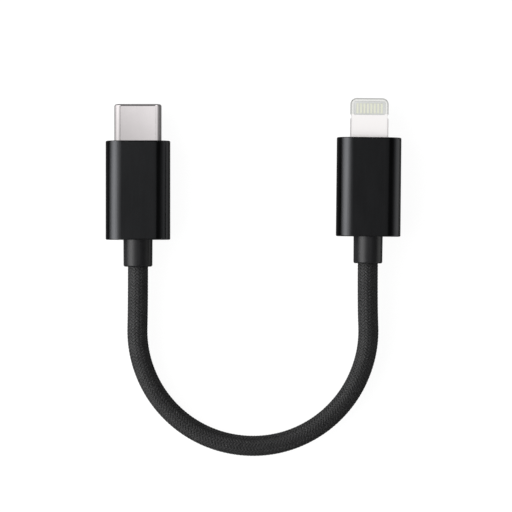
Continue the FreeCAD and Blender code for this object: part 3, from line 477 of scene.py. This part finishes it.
def metal(name, color, roughness, contrast=0.06):
    """Bare or plated metal with fine rolling marks along Y."""
    m = Material(name, color, 1.0, roughness)
    marks = m.noise(9000, 260, 9000, detail=2)
    cloud = m.noise(380)
    m.paint(m.tones(cloud, 1 - contrast, 1 + contrast))
    uneven = m.spread(marks, roughness - 0.04, roughness + 0.05)
    m.rough(m.math("ADD", uneven, m.spread(cloud, -0.02, 0.03)))
    m.bump(marks, 0.2, 0.003 * MM)
    return m.mat


def plated_shell():
    """Nickel-plated drawn steel with fine scratches from sockets; its colour is painted darker at the
    back left and lighter towards its right front, as painted light.
    """
    m = Material("plated_shell", (0.72, 0.697, 0.69), 1.0, 0.13)
    low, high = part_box("oval_shell")
    # Painted light: the base colour ramps from dark at the back left to light at the right front,
    # standing in for how light falls across the top.
    painted_light_direction = Vector((1, 1.35, 0)).normalized()
    reach = (high - low).length * 0.27
    middle = (low + high) / 2 + Vector((0, 3.5 * MM, 0))  # of the part that shows
    painted_light_drift = m.spread(m.along(middle, tuple(painted_light_direction)), 0.0, 1.0, -reach, reach)
    cloud = m.noise(420, 260, 420)
    share = m.math("ADD", m.math("MULTIPLY", painted_light_drift, 0.75), m.math("MULTIPLY", cloud, 0.3))
    scratches = m.noise(14000, 320, 14000, detail=1)
    m.paint(m.mix(share, (0.485, 0.462, 0.462), (0.87, 0.825, 0.835)))
    m.rough(m.math("ADD", m.spread(scratches, 0.115, 0.155), m.spread(cloud, -0.015, 0.02)))
    m.bump(scratches, 0.08, 0.001 * MM)
    return m.mat


def rubbed_front(m):
    """1 on the tab's front, where sockets rub it, and 0 behind that."""
    tip = next(x for x in frame["record"]["mounts"] if x["name"] == "tab_plug_tip")
    ahead = m.along(tip["pos_m"], tip["axis"])
    return m.spread(ahead, 0.0, 1.0, -2.87 * MM, -2.77 * MM)


def tab_nickel():
    """Satin nickel: bead-blasted behind, and polished and slightly greyer where sockets rub it."""
    m = Material("tab_nickel", (0.93, 0.905, 0.9), 1.0, 0.4)
    front = rubbed_front(m)
    cloud = m.noise(600)
    fine = m.noise(14000, 9000, 14000, detail=1)
    m.paint(m.mix(front, m.tones(cloud, 0.985, 1.0), (0.765, 0.766, 0.745)))
    blasted = m.math("ADD", m.spread(fine, 0.4, 0.46), m.spread(cloud, -0.02, 0.02))
    polished = m.math("ADD", m.spread(fine, 0.13, 0.19), m.spread(cloud, -0.02, 0.02))
    behind = m.math("SUBTRACT", 1.0, front)
    m.rough(m.math("ADD", m.math("MULTIPLY", blasted, behind), m.math("MULTIPLY", polished, front)))
    m.bump(fine, 0.12, 0.0015 * MM)
    return m.mat


def yarn():
    """Black nylon multifilament: fine threads along the yarn, uneven black and a few paler specks."""
    black = (0.008, 0.008, 0.008)
    m = Material("nylon_yarn", black, 0.0, 0.5, Specular_IOR_Level=0.065, Sheen_Weight=0.03)
    uv = m.node("ShaderNodeTexCoord").outputs["UV"]
    wave = m.node("ShaderNodeTexWave", wave_type="BANDS", bands_direction="X")
    wave.inputs["Scale"].default_value = 2.6
    wave.inputs["Distortion"].default_value = 1.2
    wave.inputs["Detail"].default_value = 1.0
    m.link(m.scaled(1, 0.35, 1, uv), wave.inputs["Vector"])
    threads = wave.outputs["Fac"]
    patch = m.noise(700, detail=2)
    speck = m.noise(5200, detail=1)
    share = m.math("ADD", m.math("MULTIPLY", patch, 0.55), m.math("MULTIPLY", threads, 0.35))
    uneven = m.mix(share, (0.0045, 0.0045, 0.0047), (0.0125, 0.0125, 0.0127))
    m.paint(m.mix(m.spread(speck, 0.0, 1.0, 0.66, 0.74), uneven, (0.03, 0.03, 0.03)))
    m.rough(m.spread(threads, 0.42, 0.6, 0.0, 1.0))
    m.bump(threads, 0.5, 0.012 * MM)
    return m.mat


TAB_CONTACTS = ("tab_upper_contacts", "tab_lower_contacts")


def make_materials():
    """A finish for each of the record's material slots but the woven sleeve's."""
    return {
        "black_sleeve": anodised(),
        "strain_relief": moulded_rubber(),
        "ferrule": metal("ferrule_brass", (0.72, 0.52, 0.24), 0.3),
        "screening_can": metal("tinned_steel", (0.62, 0.62, 0.63), 0.32),
        "front_cap": plastic("cap_plastic", (0.012, 0.012, 0.0125), 0.36),
        "steel_shell": plated_shell(),
        "dark_resin": plastic("dark_resin", (0.014, 0.014, 0.015), 0.42),
        "spring_steel": metal("spring_steel", (0.64, 0.62, 0.6), 0.24),
        "gilded_contacts": metal("gilding", (0.86, 0.63, 0.27), 0.2, contrast=0.04),
        "circuit_board": plastic("solder_mask", (0.012, 0.11, 0.05), 0.3),
        "chips": plastic("chip_resin", (0.02, 0.02, 0.021), 0.5),
        "inner_mould": plastic("inner_mould", (0.45, 0.45, 0.43), 0.45),
        "tab_metal": tab_nickel(),
        "contact_insert": plastic("insert_resin", (0.685, 0.695, 0.68), 0.3),
        "jacket": plastic("jacket_rubber", (0.014, 0.014, 0.014), 0.5),
        "screen": metal("screen_strands", (0.66, 0.65, 0.62), 0.35),
        "red_wire": plastic("red_insulation", (0.45, 0.02, 0.015), 0.4),
        "black_wire": plastic("black_insulation", (0.015, 0.015, 0.015), 0.4),
        "green_wire": plastic("green_insulation", (0.02, 0.24, 0.06), 0.4),
        "white_wire": plastic("white_insulation", (0.6, 0.6, 0.58), 0.4),
        "copper": metal("copper", (0.78, 0.36, 0.2), 0.28),
    }


def even_normals(node):
    """Smooth shading that runs on across the seams between a CAD solid's faces, up to 30 degrees."""
    weld = node.modifiers.new("weld", "WELD")
    weld.merge_threshold = 0.001 * MM
    split = node.modifiers.new("split", "EDGE_SPLIT")
    split.split_angle = math.radians(30)
    split.use_edge_sharp = False
    weighted = node.modifiers.new("weighted", "WEIGHTED_NORMAL")
    weighted.keep_sharp = False


def dress_nodes(materials):
    """Gives every CAD node its finish and even shading."""
    pale = metal("pale_gilding", (0.75, 0.76, 0.64), 0.3, contrast=0.04)
    for part in frame["record"]["subparts"]:
        node = frame["nodes"][part["node"]]
        finish = materials.get(part["material_slot"])
        if part["node"] in TAB_CONTACTS:
            finish = pale
        if finish is not None:
            for slot in node.material_slots:
                slot.material = finish
        even_normals(node)


# ---------------------------------------------------------------- light

MIDDLE = -0.013  # the Y that the lights point at
BANK_REACH = 0.4  # from the object to the strip lights round it
BANK_STEP = 12  # degrees between two strips
BANK_LENGTH = 0.9
# Strip lights as (angle from straight up, radiance), left negative and right positive.
LEFT_BANK = [
    (-90, 2.2), (-78, 7.0), (-66, 12.0), (-54, 13.0), (-42, 9.5), (-30, 4.5), (-18, 2.2),
]
RIGHT_BANK = [(50, 0.25), (62, 0.75), (74, 1.4), (86, 1.4), (98, 1.6), (110, 1.3), (122, 0.3)]
TAB_SIDE_BANKS = [
    (-81, 2.5), (-69, 8.0), (-57, 12.0), (-45, 12.5), (-33, 8.5), (-21, 3.8), (-9, 0.8),
    (60, 0.15), (72, 0.95), (84, 2.3), (96, 2.6), (108, 2.0), (120, 0.6),
]
SHELL_BANKS = [
    (-119, 0.65), (-107, 0.8), (-95, 0.95), (-83, 1.15), (-71, 1.3), (-59, 1.3), (-47, 1.2),
    (-35, 0.75), (-23, 0.6), (18, 0.8), (30, 0.75), (42, 0.55), (54, 0.3), (66, 0.1),
]
SOFTBOX_HEIGHT = 1.2
TENT_HEIGHT = 0.4
WORLD_LEVEL = 0.15
FLOOR_LEVEL = 0.96


def area_light(name, spot, target, size, radiance, pieces):
    """A rectangle of even light that shows only on some pieces."""
    width, height = size
    data = bpy.data.lights.new(name, "AREA")
    data.shape = "RECTANGLE"
    data.size = width
    data.size_y = height
    data.energy = radiance * width * height * math.pi
    made = make_object(name, data)
    made.location = spot
    made.rotation_euler = (Vector(target) - Vector(spot)).to_track_quat("-Z", "Y").to_euler()
    made.visible_camera = False
    group = bpy.data.collections.new(name + "_lights")
    for piece in dict.fromkeys(pieces):
        group.objects.link(piece)
    made.light_linking.receiver_collection = group


def arc_bank(name, strips, pieces, across=0.0):
    """Strip lights along Y, on an arc round the object."""
    size = (BANK_LENGTH, BANK_REACH * math.radians(BANK_STEP))
    for angle, radiance in strips:
        turn = math.radians(angle)
        spot = (across + BANK_REACH * math.sin(turn), MIDDLE, BANK_REACH * math.cos(turn))
        area_light(f"{name}_{angle}", spot, (across, MIDDLE, 0), size, radiance, pieces)


def overhead(name, height, size, radiance, pieces, across=0.0):
    """A light straight above, of that size along X and Y."""
    spot = (across, MIDDLE, height)
    area_light(name, spot, (across, MIDDLE, 0), size, radiance, pieces)


def panel(name, place, size, radiance, pieces):
    """A light at a place measured from the middle, turned towards it."""
    x, y, z = place
    area_light(name, (x, MIDDLE + y, z), (0, MIDDLE, 0), size, radiance, pieces)


def make_floor():
    """A pale floor that glows evenly and shows in no reflection."""
    mesh = bpy.data.meshes.new("floor")
    mesh.from_pydata([(-1, -1, 0), (1, -1, 0), (1, 1, 0), (-1, 1, 0)], [], [(0, 1, 2, 3)])
    floor = make_object("floor", mesh)
    floor.location.z = -0.02 * MM
    paper = Material("floor_paper", (0.02, 0.02, 0.02), 0.0, 0.9)
    paper.shader.inputs["Emission Color"].default_value = (1, 1, 1, 1)
    paper.shader.inputs["Emission Strength"].default_value = FLOOR_LEVEL
    mesh.materials.append(paper.mat)
    floor.visible_glossy = False
    floor.visible_diffuse = False
    floor.visible_shadow = False
    return floor


def make_studio(cord, oval_side, tab_side):
    """Soft lights in separate sets for the black pieces, the tab plug's side, the shell and the tab."""
    world = bpy.data.worlds.new("studio")
    bpy.context.scene.world = world
    world.use_nodes = True
    level = (WORLD_LEVEL, WORLD_LEVEL, WORLD_LEVEL, 1)
    world.node_tree.nodes["Background"].inputs["Color"].default_value = level
    floor = make_floor()
    nodes = frame["nodes"]
    tab = [nodes[name] for name in ("tab_metal_body", "tab_contact_insert", *TAB_CONTACTS)]
    shell = nodes["oval_shell"]
    apart = [shell, *tab, *tab_side]
    dull = [piece for piece in nodes.values() if piece not in apart and piece.type == "MESH"]
    black = [*cord, *oval_side, *dull]
    arc_bank("left", LEFT_BANK, [*black, floor])
    arc_bank("right", RIGHT_BANK, black)
    overhead("softbox", SOFTBOX_HEIGHT, (0.62, 0.5), 0.95, [*black, floor], 0.06)
    arc_bank("tab_side", TAB_SIDE_BANKS, tab_side, 0.02)
    overhead("tab_side_softbox", SOFTBOX_HEIGHT, (0.85, 0.5), 0.66, tab_side, 0.2)
    arc_bank("shell", SHELL_BANKS, [shell])
    overhead("shell_softbox", SOFTBOX_HEIGHT, (0.5, 0.5), 0.83, [shell])
    overhead("tab_tent", TENT_HEIGHT, (1.4, 1.4), 0.89, tab)
    band, corner, side, square = (1.0, 0.35), (0.36, 0.35), (1.0, 0.7), (1.4, 1.4)
    panel("shell_fill", (0, 0.6, 0.22), band, 0.12, [shell])
    panel("rear_fill", (0, -0.6, 0.3), band, 0.7, [shell, *tab, *tab_side, *oval_side])
    panel("shell_front_left", (-0.32, 0.44, 0.43), corner, 0.7, [shell])
    panel("shell_front_right", (0.32, 0.44, 0.43), corner, 0.7, [shell])
    panel("tab_left", (-0.6, 0, 0), side, 0.42, tab)
    panel("tab_right", (0.6, 0, 0), side, 0.42, tab)
    panel("tab_front", (0, 0.6, 0), side, 0.42, tab)
    panel("tab_bounce", (0, 0, -0.4), square, 0.6, tab)
    panel("shell_bounce", (0, 0, -0.5), (0.6, 1.4), 0.2, [shell])
    bpy.context.scene.view_settings.view_transform = "Standard"


# ---------------------------------------------------------------- the whole


def make_cord(finish):
    """The woven cord: a dark core and the yarns on it, in place of the CAD woven sleeve, which it hides.
    """
    core, points = make_core()
    line = Line(points)
    yarns = [make_yarns("cord_yarns_right", line, 1), make_yarns("cord_yarns_left", line, -1)]
    for piece in (core, *yarns):
        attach(piece, BODY)
    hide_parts("cord_woven_sleeve")
    for piece in yarns:
        piece.data.materials.append(finish)
    core.data.materials.append(plastic("under_yarns", (0.007, 0.007, 0.007), 0.8))
    return [core, *yarns]


# Millimetres from each plug's tip back to its strain relief's mouth.
OVAL_PLUG_LENGTH = 28.4
TAB_PLUG_LENGTH = 28.88

make_camera()
cord = make_cord(yarn())
finishes = make_materials()
dress_nodes(finishes)
reliefs = [
    make_relief("oval_relief", "oval_plug_mouth", OVAL_PLUG_LENGTH, "oval_strain_relief"),
    make_relief("tab_relief", "tab_plug_tip", TAB_PLUG_LENGTH, "tab_strain_relief"),
]
for relief in reliefs:
    relief.data.materials.append(finishes["strain_relief"])
sleeves = [frame["nodes"][name] for name in ("oval_sleeve", "tab_sleeve")]
oval_side, tab_side = zip(reliefs, sleeves)
make_studio(cord, oval_side, tab_side)
